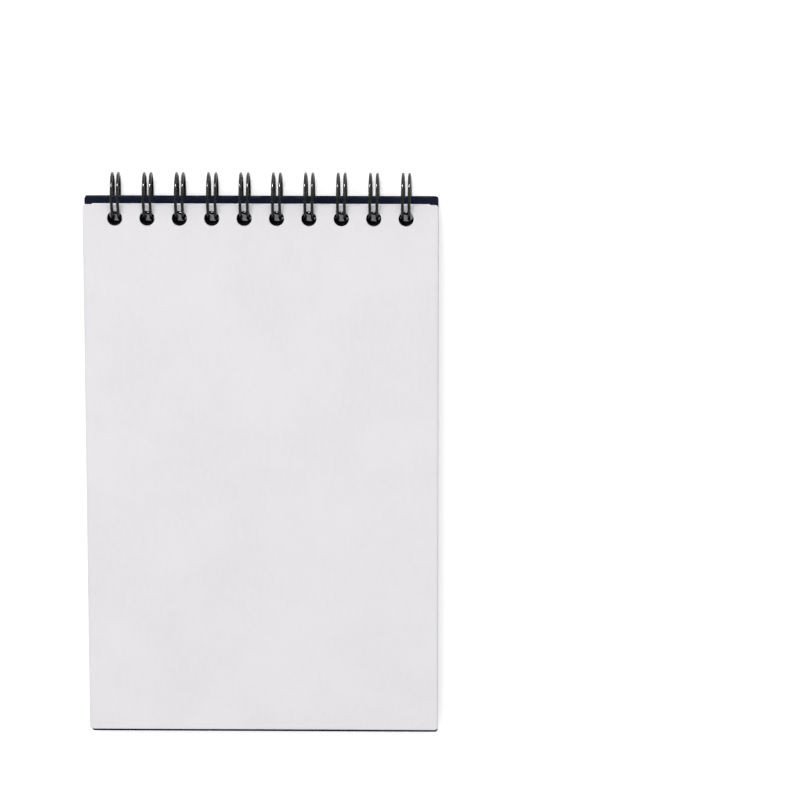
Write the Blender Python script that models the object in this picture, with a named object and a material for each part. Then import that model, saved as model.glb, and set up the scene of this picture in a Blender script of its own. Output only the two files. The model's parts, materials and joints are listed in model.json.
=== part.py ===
"""Pocket notebook, bound along its top edge by a twin-loop wire.

Frame: +X runs across the page, +Y towards the binding, +Z up out of the front cover.
The notebook lies closed and face up, with the origin under the middle of its bounding box.
Every cover and leaf turns about the line through the centres of the wire loops.
Lengths are in metres.
"""

import bmesh
import bpy
from math import asin, cos, pi, sin, sqrt

MM = 0.001

# Binding: three loops to the inch, which is the trade's 3:1 pitch
PITCH = 25.4 / 3 * MM
LOOP_COUNT = 10
WIRE_RADIUS = 0.4 * MM
LOOP_RADIUS = 6.0 * MM  # to the middle of the wire
LEG_OFFSET = 0.92 * MM  # each loop is two parallel legs, this far either side of its middle
BAR_CORNER_RADIUS = 0.5 * MM
SEAM_CLEARANCE = 0.3 * MM  # between a loop's tip and the bar that it closes on

# Punching
HOLE_RADIUS = 2.0 * MM
HOLE_TO_AXIS = 5.28 * MM
FRONT_EDGE_MARGIN = 3.65 * MM  # from a hole's centre to the front cover's top edge
BACK_EDGE_MARGIN = 4.75 * MM
PAGE_EDGE_MARGIN = 3.0 * MM

# Leaves and covers
PAGE_WIDTH = 88.9 * MM
PAGE_HEIGHT = 139.7 * MM
COVER_WIDTH = 93.0 * MM
FRONT_HEIGHT = 142.5 * MM
BACK_FOOT_OVERHANG = 2.4 * MM  # the back cover runs on past the front cover's foot
COVER_CORNER_RADIUS = 0.8 * MM
FRONT_THICKNESS = 0.6 * MM
BACK_THICKNESS = 1.2 * MM
STACK_THICKNESS = 7.8 * MM  # over both covers, centred on the loops
SHEET_THICKNESS = 0.1 * MM
LEAF_COUNT = 16
PACK_COUNT = 4
SHEETS_IN_PACK = 5
COVER_AIR = 0.1 * MM
LEAF_AIR = 0.055 * MM

# Facets
COVER_HOLE_SIDES = 8
LEAF_HOLE_SIDES = 6
LEG_SEGMENTS = 14
HAIRPIN_SEGMENTS = 4
CORNER_SEGMENTS = 2
WIRE_BEVEL_RESOLUTION = 1  # gives the wire six sides

# Places that follow from the dimensions above
AXIS_Z = LOOP_RADIUS + WIRE_RADIUS
FOOT_TO_AXIS = HOLE_TO_AXIS - FRONT_EDGE_MARGIN + FRONT_HEIGHT + BACK_FOOT_OVERHANG
AXIS_Y = (FOOT_TO_AXIS - LOOP_RADIUS - WIRE_RADIUS) / 2
HOLE_Y = AXIS_Y - HOLE_TO_AXIS
FRONT_TOP_Y = HOLE_Y + FRONT_EDGE_MARGIN
FRONT_FOOT_Y = FRONT_TOP_Y - FRONT_HEIGHT
BACK_TOP_Y = HOLE_Y + BACK_EDGE_MARGIN
BACK_FOOT_Y = FRONT_FOOT_Y - BACK_FOOT_OVERHANG
PAGE_TOP_Y = HOLE_Y + PAGE_EDGE_MARGIN
STACK_TOP_Z = AXIS_Z + STACK_THICKNESS / 2
STACK_BOTTOM_Z = AXIS_Z - STACK_THICKNESS / 2
LOOP_XS = [(index - (LOOP_COUNT - 1) / 2) * PITCH for index in range(LOOP_COUNT)]


def clear_scene():
    for thing in list(bpy.data.objects):
        bpy.data.objects.remove(thing, do_unlink=True)


def make_material(name, colour, roughness, metallic=0.0):
    material = bpy.data.materials.new(name)
    material.use_nodes = True
    shader = material.node_tree.nodes["Principled BSDF"]
    shader.inputs["Base Color"].default_value = (*colour, 1.0)
    shader.inputs["Roughness"].default_value = roughness
    shader.inputs["Metallic"].default_value = metallic
    return material


def make_hinge_line():
    """An empty on the axis that every cover and leaf turns about."""
    hinge = bpy.data.objects.new("hinge_line", None)
    hinge.empty_display_size = LOOP_RADIUS
    hinge.location = (0, AXIS_Y, AXIS_Z)
    bpy.context.scene.collection.objects.link(hinge)
    return hinge


def place(obj, material, hinge):
    obj.data.materials.append(material)
    bpy.context.scene.collection.objects.link(obj)
    obj.parent = hinge


def corner_arc(x, y, radius, start_angle, steps=3):
    """Points of a quarter circle about (x, y); a radius of zero gives the bare corner."""
    if radius == 0:
        return [(x, y)]
    angles = [start_angle + pi / 2 * step / steps for step in range(steps + 1)]
    return [(x + radius * cos(angle), y + radius * sin(angle)) for angle in angles]


def sheet_outline(width, y_low, y_high, radius):
    """The rectangle with round corners, counterclockwise from its top right corner."""
    x = width / 2 - radius
    outline = corner_arc(x, y_high - radius, radius, 0)
    outline += corner_arc(-x, y_high - radius, radius, pi / 2)
    outline += corner_arc(-x, y_low + radius, radius, pi)
    outline += corner_arc(x, y_low + radius, radius, 3 * pi / 2)
    return outline


def hole_outline(x, sides):
    """A polygon with the same area as the round punched hole."""
    radius = HOLE_RADIUS * sqrt(2 * pi / (sides * sin(2 * pi / sides)))
    angles = [2 * pi * (step + 0.5) / sides for step in range(sides)]
    return [(x + radius * cos(angle), HOLE_Y + radius * sin(angle)) for angle in angles]


def make_punched_sheet(name, outline, z_low, thickness, hole_sides, material, hinge):
    """A flat piece with the row of binding holes, its origin on the hinge line."""
    mesh = bmesh.new()
    for loop in [outline] + [hole_outline(x, hole_sides) for x in LOOP_XS]:
        verts = [mesh.verts.new((x, y - AXIS_Y, z_low - AXIS_Z)) for x, y in loop]
        for first, second in zip(verts, verts[1:] + verts[:1]):
            mesh.edges.new((first, second))
    bmesh.ops.triangle_fill(mesh, use_beauty=True, edges=mesh.edges[:], normal=(0, 0, 1))
    extruded = bmesh.ops.extrude_face_region(mesh, geom=mesh.faces[:])
    raised = [item for item in extruded["geom"] if isinstance(item, bmesh.types.BMVert)]
    bmesh.ops.translate(mesh, verts=raised, vec=(0, 0, thickness))
    bmesh.ops.recalc_face_normals(mesh, faces=mesh.faces[:])
    data = bpy.data.meshes.new(name)
    mesh.to_mesh(data)
    mesh.free()
    place(bpy.data.objects.new(name, data), material, hinge)


def make_covers(card, board, hinge):
    front = sheet_outline(COVER_WIDTH, FRONT_FOOT_Y, FRONT_TOP_Y, COVER_CORNER_RADIUS)
    front_z = STACK_TOP_Z - FRONT_THICKNESS
    make_punched_sheet("front_cover", front, front_z, FRONT_THICKNESS, COVER_HOLE_SIDES, card, hinge)
    back = sheet_outline(COVER_WIDTH, BACK_FOOT_Y, BACK_TOP_Y, COVER_CORNER_RADIUS)
    make_punched_sheet(
        "back_cover", back, STACK_BOTTOM_Z, BACK_THICKNESS, COVER_HOLE_SIDES, board, hinge
    )


def make_pages(paper, hinge):
    """Single leaves on top, then packs of sheets below them; returns the lowest page's underside."""
    page = sheet_outline(PAGE_WIDTH, PAGE_TOP_Y - PAGE_HEIGHT, PAGE_TOP_Y, 0)
    pieces = [(f"leaf_{number + 1:02d}", SHEET_THICKNESS) for number in range(LEAF_COUNT)]
    pack_thickness = SHEETS_IN_PACK * SHEET_THICKNESS
    pieces += [(f"sheet_pack_{number + 1}", pack_thickness) for number in range(PACK_COUNT)]
    z_low = STACK_TOP_Z - FRONT_THICKNESS - COVER_AIR + LEAF_AIR
    for name, thickness in pieces:
        z_low -= LEAF_AIR + thickness
        make_punched_sheet(name, page, z_low, thickness, LEAF_HOLE_SIDES, paper, hinge)
    return z_low


def unrolled_wire(bar_along, tip_along):
    """The wire's middle line as (x, distance along the loop), as if the loops were unrolled flat.

    The wire goes up one leg, round the hairpin tip, down the other leg and along a bar to the
    next loop.
    """
    points = []
    leg_start = bar_along + BAR_CORNER_RADIUS
    leg_end = tip_along - LEG_OFFSET
    leg = [leg_start + (leg_end - leg_start) * step / LEG_SEGMENTS for step in range(LEG_SEGMENTS + 1)]
    turns = [pi / 2 * step / CORNER_SEGMENTS for step in range(CORNER_SEGMENTS)]
    for index, x in enumerate(LOOP_XS):
        corner_in = x - LEG_OFFSET - BAR_CORNER_RADIUS
        corner_out = x + LEG_OFFSET + BAR_CORNER_RADIUS
        if index > 0:
            for turn in turns:
                along = leg_start - BAR_CORNER_RADIUS * cos(turn)
                points.append((corner_in + BAR_CORNER_RADIUS * sin(turn), along))
        points += [(x - LEG_OFFSET, along) for along in leg]
        for step in range(1, HAIRPIN_SEGMENTS):
            turn = pi * step / HAIRPIN_SEGMENTS
            points.append((x - LEG_OFFSET * cos(turn), leg_end + LEG_OFFSET * sin(turn)))
        points += [(x + LEG_OFFSET, along) for along in reversed(leg)]
        if index < LOOP_COUNT - 1:
            for turn in reversed(turns):
                along = leg_start - BAR_CORNER_RADIUS * cos(turn)
                points.append((corner_out - BAR_CORNER_RADIUS * sin(turn), along))
    return points


def make_wire(page_underside, black_wire, hinge):
    """One continuous wire; its bars and tips meet between the last page and the back cover."""
    board_top = STACK_BOTTOM_Z + BACK_THICKNESS
    bar_height = (page_underside + board_top) / 2 - AXIS_Z
    bar_along = LOOP_RADIUS * asin(bar_height / LOOP_RADIUS)
    tip_gap = 2 * WIRE_RADIUS + SEAM_CLEARANCE
    tip_along = bar_along + 2 * pi * LOOP_RADIUS - tip_gap
    points = unrolled_wire(bar_along, tip_along)
    curve = bpy.data.curves.new("twin_loop_wire", "CURVE")
    curve.dimensions = "3D"
    curve.twist_mode = "MINIMUM"
    curve.bevel_depth = WIRE_RADIUS
    curve.bevel_resolution = WIRE_BEVEL_RESOLUTION
    curve.use_fill_caps = True
    spline = curve.splines.new("POLY")
    spline.points.add(len(points) - 1)
    for point, (x, along) in zip(spline.points, points):
        angle = along / LOOP_RADIUS
        point.co = (x, -LOOP_RADIUS * cos(angle), LOOP_RADIUS * sin(angle), 1)
    place(bpy.data.objects.new("twin_loop_wire", curve), black_wire, hinge)


def main():
    clear_scene()
    hinge = make_hinge_line()
    card = make_material("cover_card", (0.80, 0.79, 0.80), 0.75)
    board = make_material("navy_board", (0.012, 0.015, 0.028), 0.6)
    paper = make_material("page_paper", (0.84, 0.86, 0.88), 0.85)
    black_wire = make_material("black_wire", (0.006, 0.006, 0.007), 0.3)
    make_covers(card, board, hinge)
    page_underside = make_pages(paper, hinge)
    make_wire(page_underside, black_wire, hinge)
    bpy.context.view_layer.update()


main()
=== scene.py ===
"""Looks of a closed pocket notebook with a twin-loop wire: card, board, ruled paper and coated wire.

Everything is in metres in the CAD frame: +X across the page, +Y towards the binding, +Z up.
"""

import json
from math import asin, atan2, cos, pi, radians, sin, sqrt, tan

import bmesh
import bpy
from mathutils import Matrix, Vector, noise


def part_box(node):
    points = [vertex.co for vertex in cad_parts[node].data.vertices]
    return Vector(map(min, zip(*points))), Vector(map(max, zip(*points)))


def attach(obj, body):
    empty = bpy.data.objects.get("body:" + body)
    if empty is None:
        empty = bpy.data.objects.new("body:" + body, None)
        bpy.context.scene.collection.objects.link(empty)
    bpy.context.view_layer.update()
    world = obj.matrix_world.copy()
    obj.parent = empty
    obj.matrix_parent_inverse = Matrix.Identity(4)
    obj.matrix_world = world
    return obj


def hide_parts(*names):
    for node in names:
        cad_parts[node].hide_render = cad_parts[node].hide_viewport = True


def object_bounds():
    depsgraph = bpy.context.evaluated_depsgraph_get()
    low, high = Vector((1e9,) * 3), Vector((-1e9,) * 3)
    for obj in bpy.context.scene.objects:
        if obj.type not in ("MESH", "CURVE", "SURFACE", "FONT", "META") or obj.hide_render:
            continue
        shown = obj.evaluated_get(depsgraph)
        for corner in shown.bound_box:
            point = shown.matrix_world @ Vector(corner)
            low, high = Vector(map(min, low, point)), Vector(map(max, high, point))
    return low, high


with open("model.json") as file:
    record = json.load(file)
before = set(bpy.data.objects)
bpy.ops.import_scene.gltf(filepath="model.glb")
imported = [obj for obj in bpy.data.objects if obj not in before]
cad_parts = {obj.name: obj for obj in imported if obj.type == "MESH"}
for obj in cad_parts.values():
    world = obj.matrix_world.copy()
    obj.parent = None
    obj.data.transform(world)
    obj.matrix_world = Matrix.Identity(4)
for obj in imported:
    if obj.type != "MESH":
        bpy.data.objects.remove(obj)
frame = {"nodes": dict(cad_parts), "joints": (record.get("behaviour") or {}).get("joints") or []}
cad_low, cad_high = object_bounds()

MM = 0.001

# The binding, as the CAD has it
PITCH = 25.4 / 3 * MM
LOOP_COUNT = 10
HOLE_RADIUS = 2.0 * MM
PAGE_HOLE_RADIUS = 2.2 * MM  # the wire has widened the holes in the paper
HOLE_TO_AXIS = 5.28 * MM
WIRE_RADIUS = 0.4 * MM
BAR_CORNER_RADIUS = 0.5 * MM
SEAM_CLEARANCE = 0.3 * MM
AXIS_Y, AXIS_Z = frame["joints"][0]["pos_m"][1:]
LOOP_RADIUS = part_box("twin_loop_wire")[1].y - AXIS_Y - WIRE_RADIUS
HOLE_Y = AXIS_Y - HOLE_TO_AXIS
LOOP_XS = [(index - (LOOP_COUNT - 1) / 2) * PITCH for index in range(LOOP_COUNT)]

# The closing of the loops leaves them a little uneven: half the gap between a loop's legs, and
# how far a full turn of the wire drifts to the right
LEG_OFFSETS = [offset * MM for offset in (0.80, 0.88, 0.88, 0.98, 0.96, 0.92, 0.94, 0.90, 0.92, 0.86)]
LEANS = [lean * MM for lean in (-0.585, -0.325, -0.065, -0.078, 0.026, 0.104, 0.156, 0.13, 0.234, 0.338)]

# Sheets
SHEETS_IN_PACK = 5
PACK_SHEET_AIR = 0.014 * MM
COVER_CORNER = 0.75 * MM
PAGE_CORNER = 0.4 * MM
RELAXED_LENGTH = 40 * MM  # the pages settle on the back cover this far below the holes
SETTLE_SPARE = 0.3 * MM
SETTLE_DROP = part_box("sheet_pack_4")[0].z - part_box("back_cover")[1].z - SETTLE_SPARE
COVER_SETTLE_SHARE = 0.25  # of how far the lowest page settles
RIPPLE = 0.09 * MM
RIPPLE_SCALE = 26
STRAY = 0.192 * MM  # the most that a sheet lies off its place
STRAY_ANGLE = radians(0.112)
COVER_WEAR = 0.09 * MM  # the rounding of its edges
BOARD_WEAR = 0.16 * MM
CREASE_ANGLE = radians(35)
WEAR_ANGLE = radians(50)

# Ruling
RULE_COUNT = 27
RULE_SPACING = 4.77 * MM
FIRST_RULE_BELOW_HOLES = 6.4 * MM
RULE_WIDTH = 0.2 * MM
RULE_MARGIN = 6.6 * MM

# Mesh fineness
CORNER_STEPS = 4
CELL_STEPS = 8
BAND_STEPS = 5
BODY_STEPS = 22
LEG_SEGMENTS = 56
HAIRPIN_SEGMENTS = 12
BEND_SEGMENTS = 6
WIRE_BEVEL_RESOLUTION = 4

# Camera: 216 mm lens, over the binding end of the page, looking at a point beside the notebook
LENS = 216.3
CAMERA_DISTANCE = 1.2655
CAMERA_TILT = radians(12.59)
CAMERA_SIDE = radians(0.93)
CAMERA_AIM = Vector((0.0365, 0.0164, 0.0103))

# Studio
FLOOR_REACH = 3.0
FLOOR_DROP = 0.1 * MM  # keeps the floor's face off the wire
FLOOR_GLOW = 0.40  # lifts the shadows, as a lit table does
GLOW_UNDER_COVER = 0.12  # painted shade: the floor there is seen only through the holes
AMBIENT = 0.715
BACKDROP = 0.97


# ---------------------------------------------------------------- sheets

def across_lines(half_width, radius):
    """Grid lines in x: fine over the round corners, then eight to a hole's cell."""
    outer = [half_width - radius * step / CORNER_STEPS for step in range(CORNER_STEPS + 1)]
    half_row = PITCH * LOOP_COUNT / 2
    row = [-half_row + PITCH * step / CELL_STEPS for step in range(LOOP_COUNT * CELL_STEPS + 1)]
    return [-x for x in outer] + row + outer[::-1]


def down_lines(top, foot, radius):
    """Grid lines in y from the top edge down, and the number of the one under the holes."""
    lines = [top - radius * step / CORNER_STEPS for step in range(CORNER_STEPS + 1)]
    under_holes = HOLE_Y - PITCH / 2
    start = lines[-1]
    lines += [start + (under_holes - start) * step / BAND_STEPS for step in range(1, BAND_STEPS + 1)]
    band = len(lines) - 1
    end = foot + radius
    lines += [under_holes + (end - under_holes) * step / BODY_STEPS for step in range(1, BODY_STEPS + 1)]
    lines += [foot + radius * (1 - step / CORNER_STEPS) for step in range(1, CORNER_STEPS + 1)]
    return lines, band


def round_corner(x, y, half_width, top, foot, radius):
    """Moves a point of a corner's square block into the quarter disc that fills it."""
    along_x = abs(x) - (half_width - radius)
    along_y = max(y - (top - radius), (foot + radius) - y)
    if along_x <= 0 or along_y <= 0:
        return x, y
    u, v = along_x / radius, along_y / radius
    new_x = half_width - radius + radius * u * sqrt(1 - v * v / 2)
    new_y = radius * v * sqrt(1 - u * u / 2)
    at_top = y > (top + foot) / 2
    return (new_x if x > 0 else -new_x), (top - radius + new_y if at_top else foot + radius - new_y)


def settle(x, y, share):
    """How far a loose sheet lies off its flat CAD place: down on the back cover, with a slow ripple."""
    reach = min(max((HOLE_Y - PITCH / 2 - y) / RELAXED_LENGTH, 0), 1)
    reach = reach * reach * (3 - 2 * reach)
    wave = noise.noise(Vector((x * RIPPLE_SCALE, y * RIPPLE_SCALE, 0.5)))
    return reach * (RIPPLE * wave - share * SETTLE_DROP)


def add_sheet(mesh, size, top_z, thickness, radius, share=0.0, stray=(0, 0, 0), hole_radius=HOLE_RADIUS):
    """Adds one punched sheet to the mesh.

    size is (half width, top y, foot y), share how much of the full settling it takes, and stray its
    shift in x and y and its turn in radians.
    """
    half_width, top, foot = size
    xs = across_lines(half_width, radius)
    ys, band = down_lines(top, foot, radius)
    first_cell = CORNER_STEPS + 1
    last_cell = first_cell + LOOP_COUNT * CELL_STEPS
    shift_x, shift_y, turn = stray
    grid = {}

    def vertex(x, y, rounded=True):
        if rounded:
            x, y = round_corner(x, y, half_width, top, foot, radius)
        z = top_z + settle(x, y, share)
        return mesh.verts.new((x + shift_x - (y - HOLE_Y) * turn, y + shift_y + x * turn, z))

    def at(column, row):
        if (column, row) not in grid:
            grid[column, row] = vertex(xs[column], ys[row])
        return grid[column, row]

    faces = []
    for row in range(len(ys) - 1):
        for column in range(len(xs) - 1):
            if row < band and first_cell <= column < last_cell:
                continue
            corners = [at(column, row + 1), at(column + 1, row + 1), at(column + 1, row), at(column, row)]
            faces.append(mesh.faces.new(corners))
    for index, hole_x in enumerate(LOOP_XS):
        left = first_cell + index * CELL_STEPS
        right = left + CELL_STEPS
        around = [(column, band) for column in range(left, right)]
        around += [(right, row) for row in range(band, 0, -1)]
        around += [(column, 0) for column in range(right, left, -1)]
        around += [(left, row) for row in range(0, band)]
        rim = []
        for column, row in around:
            angle = atan2(ys[row] - HOLE_Y, xs[column] - hole_x)
            rim.append(vertex(hole_x + hole_radius * cos(angle), HOLE_Y + hole_radius * sin(angle), False))
        outer = [at(column, row) for column, row in around]
        for step in range(len(around)):
            after = (step + 1) % len(around)
            faces.append(mesh.faces.new([outer[step], outer[after], rim[after], rim[step]]))
    lowered = bmesh.ops.extrude_face_region(mesh, geom=faces)
    moved = [item for item in lowered["geom"] if isinstance(item, bmesh.types.BMVert)]
    bmesh.ops.translate(mesh, verts=moved, vec=(0, 0, -thickness))


def finish_piece(name, mesh, body, material, node, bevel=0.0):
    """Makes an object of the mesh, in place of its CAD node."""
    bmesh.ops.recalc_face_normals(mesh, faces=mesh.faces[:])
    data = bpy.data.meshes.new(name)
    mesh.to_mesh(data)
    mesh.free()
    data.shade_smooth()
    data.set_sharp_from_angle(angle=CREASE_ANGLE)
    data.materials.append(material)
    piece = bpy.data.objects.new(name, data)
    bpy.context.scene.collection.objects.link(piece)
    if bevel > 0:
        rounding = piece.modifiers.new("worn_edge", "BEVEL")
        rounding.width = bevel
        rounding.segments = 2
        rounding.angle_limit = WEAR_ANGLE
        rounding.harden_normals = True
    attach(piece, body)
    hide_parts(node)


def node_size(node):
    """Half width, top y and foot y of a node's box."""
    low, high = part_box(node)
    return (high.x - low.x) / 2, high.y, low.y


def make_front_cover(material):
    low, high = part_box("front_cover")
    mesh = bmesh.new()
    thickness = high.z - low.z
    add_sheet(mesh, node_size("front_cover"), high.z, thickness, COVER_CORNER, COVER_SETTLE_SHARE)
    finish_piece("card_cover", mesh, "front_cover", material, "front_cover", COVER_WEAR)


def make_back_cover(material):
    low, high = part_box("back_cover")
    mesh = bmesh.new()
    half_width, top, foot = node_size("back_cover")
    add_sheet(mesh, (half_width, top, foot), high.z, high.z - low.z, COVER_CORNER)
    for vert in mesh.verts:  # the board is stiff, so it stays flat
        vert.co.z = high.z if vert.co.z > (low.z + high.z) / 2 else low.z
    finish_piece("board_cover", mesh, "root", material, "back_cover", BOARD_WEAR)


def stray_of(number):
    """A small repeatable shift and turn for one sheet."""
    def spread(seed):
        return noise.noise(Vector((number * 3.7 + 0.3, seed * 5.1, 1.9)))
    return STRAY * spread(1), STRAY * spread(2), STRAY_ANGLE * spread(3)


def make_pages(material):
    """The single leaves, then the packs with each of their sheets; lower sheets settle further."""
    leaves = sorted(name for name in frame["nodes"] if name.startswith("leaf_"))
    packs = sorted(name for name in frame["nodes"] if name.startswith("sheet_pack_"))
    sheet_count = len(leaves) + len(packs) * SHEETS_IN_PACK
    number = 0
    for node in leaves + packs:
        low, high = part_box(node)
        sheets = SHEETS_IN_PACK if node in packs else 1
        step = (high.z - low.z) / sheets
        air = PACK_SHEET_AIR if node in packs else 0
        mesh = bmesh.new()
        for layer in range(sheets):
            number += 1
            share = COVER_SETTLE_SHARE + (1 - COVER_SETTLE_SHARE) * number / sheet_count
            top_z = high.z - layer * step
            stray = stray_of(number)
            size = node_size(node)
            add_sheet(mesh, size, top_z, step - air, PAGE_CORNER, share, stray, PAGE_HOLE_RADIUS)
        finish_piece("paper_" + node, mesh, node, material, node)


# ---------------------------------------------------------------- wire

def loop_line(index, bar_along, tip_along):
    """One loop's middle line as (x, distance along the loop): up a leg, round the tip, down again."""
    offset = LEG_OFFSETS[index]
    corner = BAR_CORNER_RADIUS
    leg_start = bar_along + corner
    leg_end = tip_along - offset
    leg = [leg_start + (leg_end - leg_start) * step / LEG_SEGMENTS for step in range(LEG_SEGMENTS + 1)]
    bends = [pi / 2 * step / BEND_SEGMENTS for step in range(BEND_SEGMENTS)]
    line = []
    if index > 0:
        line += [(-offset - corner + corner * sin(turn), leg_start - corner * cos(turn)) for turn in bends]
    line += [(-offset, along) for along in leg]
    for step in range(1, HAIRPIN_SEGMENTS):
        turn = pi * step / HAIRPIN_SEGMENTS
        line.append((-offset * cos(turn), leg_end + offset * sin(turn)))
    line += [(offset, along) for along in reversed(leg)]
    if index < LOOP_COUNT - 1:
        bends.reverse()
        line += [(offset + corner - corner * sin(turn), leg_start - corner * cos(turn)) for turn in bends]
    return line


def make_wire(material):
    """The whole binding as one round wire, each loop leaning a little to one side."""
    lowest_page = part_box("sheet_pack_4")[0].z
    board_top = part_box("back_cover")[1].z
    bar_height = (lowest_page + board_top) / 2 - AXIS_Z
    bar_along = LOOP_RADIUS * asin(bar_height / LOOP_RADIUS)
    tip_along = bar_along + 2 * pi * LOOP_RADIUS - 2 * WIRE_RADIUS - SEAM_CLEARANCE
    curve = bpy.data.curves.new("binding_wire", "CURVE")
    curve.dimensions = "3D"
    curve.twist_mode = "MINIMUM"
    curve.bevel_depth = WIRE_RADIUS
    curve.bevel_resolution = WIRE_BEVEL_RESOLUTION
    curve.use_fill_caps = True
    points = []
    for index, loop_x in enumerate(LOOP_XS):
        for x, along in loop_line(index, bar_along, tip_along):
            angle = along / LOOP_RADIUS
            lean = LEANS[index] * (angle - pi) / (2 * pi)
            y = AXIS_Y - LOOP_RADIUS * cos(angle)
            points.append((loop_x + x + lean, y, AXIS_Z + LOOP_RADIUS * sin(angle), 1))
    spline = curve.splines.new("POLY")
    spline.points.add(len(points) - 1)
    for point, place in zip(spline.points, points):
        point.co = place
    spline.use_smooth = True
    curve.materials.append(material)
    wire = bpy.data.objects.new("binding_wire", curve)
    bpy.context.scene.collection.objects.link(wire)
    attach(wire, "root")
    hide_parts("twin_loop_wire")


# ---------------------------------------------------------------- materials

class Shading:
    """A material under construction, with short calls for its nodes."""

    def __init__(self, name, roughness):
        self.material = bpy.data.materials.new(name)
        self.material.use_nodes = True
        self.tree = self.material.node_tree
        self.shader = self.tree.nodes["Principled BSDF"]
        self.shader.inputs["Roughness"].default_value = roughness
        self.place = self.node("ShaderNodeTexCoord").outputs["Object"]

    def node(self, kind, **settings):
        made = self.tree.nodes.new(kind)
        for key, value in settings.items():
            setattr(made, key, value)
        return made

    def link(self, source, target):
        self.tree.links.new(source, target)

    def math(self, operation, first, second=None):
        made = self.node("ShaderNodeMath", operation=operation)
        for socket, value in zip(made.inputs, (first, second)):
            if value is None:
                continue
            if isinstance(value, (int, float)):
                socket.default_value = value
            else:
                self.link(value, socket)
        return made.outputs[0]

    def noise(self, scale, detail=4.0, roughness=0.55, stretch=(1, 1, 1)):
        mapping = self.node("ShaderNodeMapping")
        mapping.inputs["Scale"].default_value = stretch
        self.link(self.place, mapping.inputs["Vector"])
        texture = self.node("ShaderNodeTexNoise")
        texture.inputs["Scale"].default_value = scale
        texture.inputs["Detail"].default_value = detail
        texture.inputs["Roughness"].default_value = roughness
        self.link(mapping.outputs["Vector"], texture.inputs["Vector"])
        return texture.outputs["Fac"]

    def specks(self, cell, size, share):
        """Sparse round specks: cell and size in metres, share of the cells that hold one."""
        texture = self.node("ShaderNodeTexVoronoi")
        texture.inputs["Scale"].default_value = 1 / cell
        self.link(self.place, texture.inputs["Vector"])
        near = self.math("LESS_THAN", texture.outputs["Distance"], size / cell)
        chosen = self.node("ShaderNodeSeparateColor")
        self.link(texture.outputs["Color"], chosen.inputs[0])
        kept = self.math("LESS_THAN", chosen.outputs[0], share)
        return self.math("MULTIPLY", near, kept)

    def remap(self, value, low, high, to_low=0.0, to_high=1.0):
        made = self.node("ShaderNodeMapRange", interpolation_type="SMOOTHSTEP")
        self.link(value, made.inputs["Value"])
        settings = {"From Min": low, "From Max": high, "To Min": to_low, "To Max": to_high}
        for key, amount in settings.items():
            made.inputs[key].default_value = amount
        return made.outputs["Result"]

    def mix(self, factor, first, second):
        """Mixes two colours, each a tuple or a socket."""
        made = self.node("ShaderNodeMix", data_type="RGBA")
        self.link(factor, made.inputs["Factor"])
        for socket, value in ((made.inputs[6], first), (made.inputs[7], second)):
            if isinstance(value, tuple):
                socket.default_value = (*value, 1.0)
            else:
                self.link(value, socket)
        return made.outputs[2]

    def axes(self):
        parts = self.node("ShaderNodeSeparateXYZ")
        self.link(self.place, parts.inputs[0])
        return parts.outputs

    def rim(self, node, width):
        """1 at the outer edges of a node's box and 0 further in than width."""
        half_width, top, foot = node_size(node)
        x, y, _ = self.axes()
        from_side = self.math("SUBTRACT", half_width, self.math("ABSOLUTE", x))
        from_middle = self.math("ABSOLUTE", self.math("SUBTRACT", y, (top + foot) / 2))
        from_end = self.math("SUBTRACT", (top - foot) / 2, from_middle)
        nearest = self.math("MINIMUM", from_side, from_end)
        return self.remap(nearest, 0.0, width, 1.0, 0.0)

    def painted_hole_shade(self, radius):
        """Mask of the painted shade in the holes: 1 inside and just around the punched holes, 0 elsewhere.
        """
        x, y, _ = self.axes()
        across = self.math("SUBTRACT", PITCH / 2, self.math("PINGPONG", x, PITCH / 2))
        along = self.math("SUBTRACT", y, HOLE_Y)
        across_squared = self.math("MULTIPLY", across, across)
        squares = self.math("ADD", across_squared, self.math("MULTIPLY", along, along))
        near_hole = self.remap(self.math("SQRT", squares), radius + 0.06 * MM, radius + 0.16 * MM, 1.0, 0.0)
        in_row = self.math("LESS_THAN", self.math("ABSOLUTE", x), LOOP_COUNT * PITCH / 2)
        return self.math("MULTIPLY", near_hole, in_row)

    def bump(self, height, strength, distance):
        made = self.node("ShaderNodeBump")
        made.inputs["Strength"].default_value = strength
        made.inputs["Distance"].default_value = distance
        self.link(height, made.inputs["Height"])
        self.link(made.outputs["Normal"], self.shader.inputs["Normal"])

    def finish(self, colour, roughness):
        self.link(colour, self.shader.inputs["Base Color"])
        self.link(roughness, self.shader.inputs["Roughness"])
        return self.material


def cover_card():
    """Light warm grey recycled card: cloudy pulp, short fibres, a few faint specks, soft painted shade
    along its edges.
    """
    card = Shading("cover_card_look", 0.8)
    card.shader.inputs["Specular IOR Level"].default_value = 0
    clouds = card.remap(card.noise(60, 5), 0.3, 0.7)
    fibres = card.remap(card.noise(900, 3, 0.6, (1, 0.35, 1)), 0.35, 0.65)
    colour = card.mix(clouds, (0.700, 0.686, 0.710), (0.728, 0.714, 0.737))
    dark_specks = card.specks(2.6 * MM, 0.13 * MM, 0.3)
    pale_specks = card.specks(3.4 * MM, 0.2 * MM, 0.3)
    edge_shade = card.rim("front_cover", 0.7 * MM)
    colour = card.mix(card.math("MULTIPLY", fibres, 0.22), colour, (0.755, 0.742, 0.752))
    colour = card.mix(card.math("MULTIPLY", dark_specks, 0.35), colour, (0.45, 0.43, 0.42))
    colour = card.mix(card.math("MULTIPLY", pale_specks, 0.5), colour, (0.80, 0.79, 0.80))
    # painted shade: the card is darkened along its outer edges
    colour = card.mix(card.math("MULTIPLY", edge_shade, 0.35), colour, (0.62, 0.60, 0.60))
    card.bump(card.math("ADD", fibres, card.math("MULTIPLY", clouds, 0.4)), 0.18, 0.02 * MM)
    return card.finish(colour, card.remap(fibres, 0, 1, 0.74, 0.88))


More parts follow.
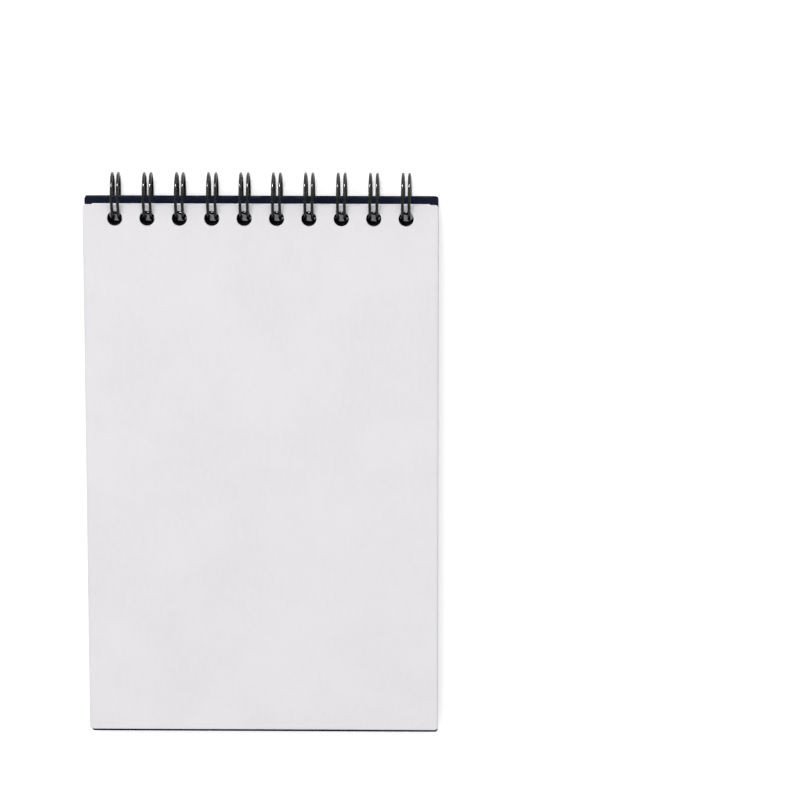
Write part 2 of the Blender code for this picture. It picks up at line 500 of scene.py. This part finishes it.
def navy_board():
    """Dyed navy board with a fine pressed grain, rubbed paler along its edges."""
    board = Shading("navy_board_look", 0.6)
    board.shader.inputs["Specular IOR Level"].default_value = 0
    grain = board.noise(1500, 4, 0.6)
    blotch = board.remap(board.noise(45, 4), 0.3, 0.7)
    colour = board.mix(blotch, (0.0098, 0.0116, 0.0252), (0.0142, 0.0170, 0.0344))
    colour = board.mix(board.remap(grain, 0.5, 0.8, 0, 0.5), colour, (0.016, 0.019, 0.036))
    patches = board.remap(board.noise(260, 4), 0.42, 0.66)
    rubbed = board.math("MULTIPLY", board.rim("back_cover", 0.55 * MM), patches)
    colour = board.mix(board.math("MULTIPLY", rubbed, 0.5), colour, (0.075, 0.080, 0.105))
    board.bump(grain, 0.35, 0.03 * MM)
    return board.finish(colour, board.remap(grain, 0.3, 0.7, 0.5, 0.7))


def page_paper():
    """Bluish white paper with fine grey rules, faint clouds and painted shade on the hole walls."""
    paper = Shading("page_paper_look", 0.88)
    paper.shader.inputs["Specular IOR Level"].default_value = 0
    x, y, _ = paper.axes()
    half_width = node_size("leaf_01")[0]
    first_rule = HOLE_Y - FIRST_RULE_BELOW_HOLES
    below = paper.math("DIVIDE", paper.math("SUBTRACT", first_rule, y), RULE_SPACING)
    nearest = paper.math("ROUND", below)
    part_off = paper.math("ABSOLUTE", paper.math("SUBTRACT", below, nearest))
    off = paper.math("MULTIPLY", part_off, RULE_SPACING)
    line = paper.remap(off, RULE_WIDTH * 0.3, RULE_WIDTH * 0.75, 1.0, 0.0)
    inside = paper.math("LESS_THAN", paper.math("ABSOLUTE", x), half_width - RULE_MARGIN)
    from_middle = paper.math("ABSOLUTE", paper.math("SUBTRACT", nearest, (RULE_COUNT - 1) / 2))
    counted = paper.math("LESS_THAN", from_middle, RULE_COUNT / 2)
    ink = paper.math("MULTIPLY", paper.math("MULTIPLY", line, inside), counted)
    broken = paper.remap(paper.noise(1800, 2), 0.3, 0.6, 0.55, 0.9)
    formation = paper.remap(paper.noise(110, 6), 0.3, 0.7)
    tooth = paper.noise(2600, 2)
    colour = paper.mix(formation, (0.795, 0.803, 0.835), (0.820, 0.828, 0.858))
    colour = paper.mix(paper.math("MULTIPLY", ink, broken), colour, (0.47, 0.48, 0.50))
    # painted shade: the hole walls and a thin ring around them are painted near black, as if in the wires'
    # shadow
    colour = paper.mix(paper.painted_hole_shade(PAGE_HOLE_RADIUS), colour, (0.022, 0.022, 0.024))
    paper.bump(tooth, 0.15, 0.01 * MM)
    return paper.finish(colour, paper.remap(tooth, 0.3, 0.7, 0.82, 0.93))


def black_wire():
    """Steel wire in a glossy black nylon coat, slightly uneven and rubbed in places."""
    wire = Shading("black_wire_look", 0.24)
    wire.shader.inputs["Specular IOR Level"].default_value = 0.08
    wire.shader.inputs["Coat Weight"].default_value = 0.4
    wire.shader.inputs["Coat Roughness"].default_value = 0.14
    uneven = wire.noise(700, 3)
    rubbed = wire.remap(wire.noise(420, 5, 0.65), 0.62, 0.74)
    colour = wire.mix(wire.math("MULTIPLY", rubbed, 0.5), (0.0035, 0.0035, 0.0038), (0.016, 0.016, 0.017))
    wire.bump(uneven, 0.2, 0.02 * MM)
    return wire.finish(colour, wire.remap(uneven, 0.3, 0.7, 0.2, 0.32))


# ---------------------------------------------------------------- studio

def make_floor():
    """A pale floor with a glow, which is weaker under the back cover as painted shade."""
    reach = FLOOR_REACH
    mesh = bpy.data.meshes.new("studio_floor")
    corners = [(-reach, -reach, 0), (reach, -reach, 0), (reach, reach, 0), (-reach, reach, 0)]
    mesh.from_pydata(corners, [], [(0, 1, 2, 3)])
    floor = bpy.data.objects.new("studio_floor", mesh)
    floor.location.z = cad_low.z - FLOOR_DROP
    bpy.context.scene.collection.objects.link(floor)
    paint = Shading("studio_floor_look", 0.9)
    paint.shader.inputs["Base Color"].default_value = (0.93, 0.93, 0.935, 1)
    paint.shader.inputs["Emission Color"].default_value = (1, 1, 1, 1)
    half_width, top, foot = node_size("back_cover")
    x, y, _ = paint.axes()
    past_side = paint.math("SUBTRACT", paint.math("ABSOLUTE", x), half_width)
    past_middle = paint.math("ABSOLUTE", paint.math("SUBTRACT", y, (top + foot) / 2))
    past_end = paint.math("SUBTRACT", past_middle, (top - foot) / 2)
    past_cover = paint.math("MAXIMUM", past_side, past_end)
    # painted shade: the glow drops under the back cover, where the floor is seen only through the holes
    glow = paint.remap(past_cover, -2 * MM, -0.5 * MM, GLOW_UNDER_COVER, FLOOR_GLOW)
    paint.link(glow, paint.shader.inputs["Emission Strength"])
    mesh.materials.append(paint.material)


def make_light(name, place, size, power, only_in_gloss=False):
    """A square lamp that points at the middle of the frame. place and size in metres, power in watts."""
    light = bpy.data.lights.new(name, "AREA")
    light.size = size
    light.energy = power
    lamp = bpy.data.objects.new(name, light)
    lamp.location = place
    lamp.rotation_mode = "QUATERNION"
    lamp.rotation_quaternion = (-Vector(place)).to_track_quat("-Z", "Y")
    lamp.visible_diffuse = not only_in_gloss
    bpy.context.scene.collection.objects.link(lamp)


def make_studio():
    """Floor, lamps, and a world that looks paler to the camera than it is as a light."""
    make_floor()
    make_light("soft_box", (-0.30, 0.55, 1.0), 0.7, 6.1)
    make_light("fill", (0.9, -1.2, 1.7), 1.4, 4)
    make_light("glint", (-0.3, 1.5, 0.72), 0.22, 90, only_in_gloss=True)
    world = bpy.data.worlds.new("studio")
    world.use_nodes = True
    nodes, links = world.node_tree.nodes, world.node_tree.links
    ambient = nodes["Background"]
    ambient.inputs["Color"].default_value = (1, 1, 1, 1)
    ambient.inputs["Strength"].default_value = AMBIENT
    backdrop = nodes.new("ShaderNodeBackground")
    backdrop.inputs["Color"].default_value = (1, 1, 1, 1)
    backdrop.inputs["Strength"].default_value = BACKDROP
    seen = nodes.new("ShaderNodeMixShader")
    links.new(nodes.new("ShaderNodeLightPath").outputs["Is Camera Ray"], seen.inputs["Fac"])
    links.new(ambient.outputs[0], seen.inputs[1])
    links.new(backdrop.outputs[0], seen.inputs[2])
    links.new(seen.outputs[0], nodes["World Output"].inputs["Surface"])
    bpy.context.scene.world = world
    bpy.context.scene.view_settings.view_transform = "Standard"


def make_camera():
    """The camera, upright over the notebook, leaning towards the binding."""
    data = bpy.data.cameras.new("camera")
    data.lens = LENS
    data.sensor_width = 36
    data.clip_start = 0.01
    data.clip_end = 20
    camera = bpy.data.objects.new("camera", data)
    towards = Vector((tan(CAMERA_SIDE), tan(CAMERA_TILT), 1)).normalized()
    camera.location = CAMERA_AIM + towards * CAMERA_DISTANCE
    camera.rotation_mode = "QUATERNION"
    right = Vector((0, 1, 0)).cross(towards).normalized()
    upright = Matrix((right, towards.cross(right), towards)).transposed()
    camera.rotation_quaternion = upright.to_quaternion()
    bpy.context.scene.collection.objects.link(camera)
    bpy.context.scene.camera = camera


make_camera()
make_studio()
make_front_cover(cover_card())
make_back_cover(navy_board())
make_pages(page_paper())
make_wire(black_wire())
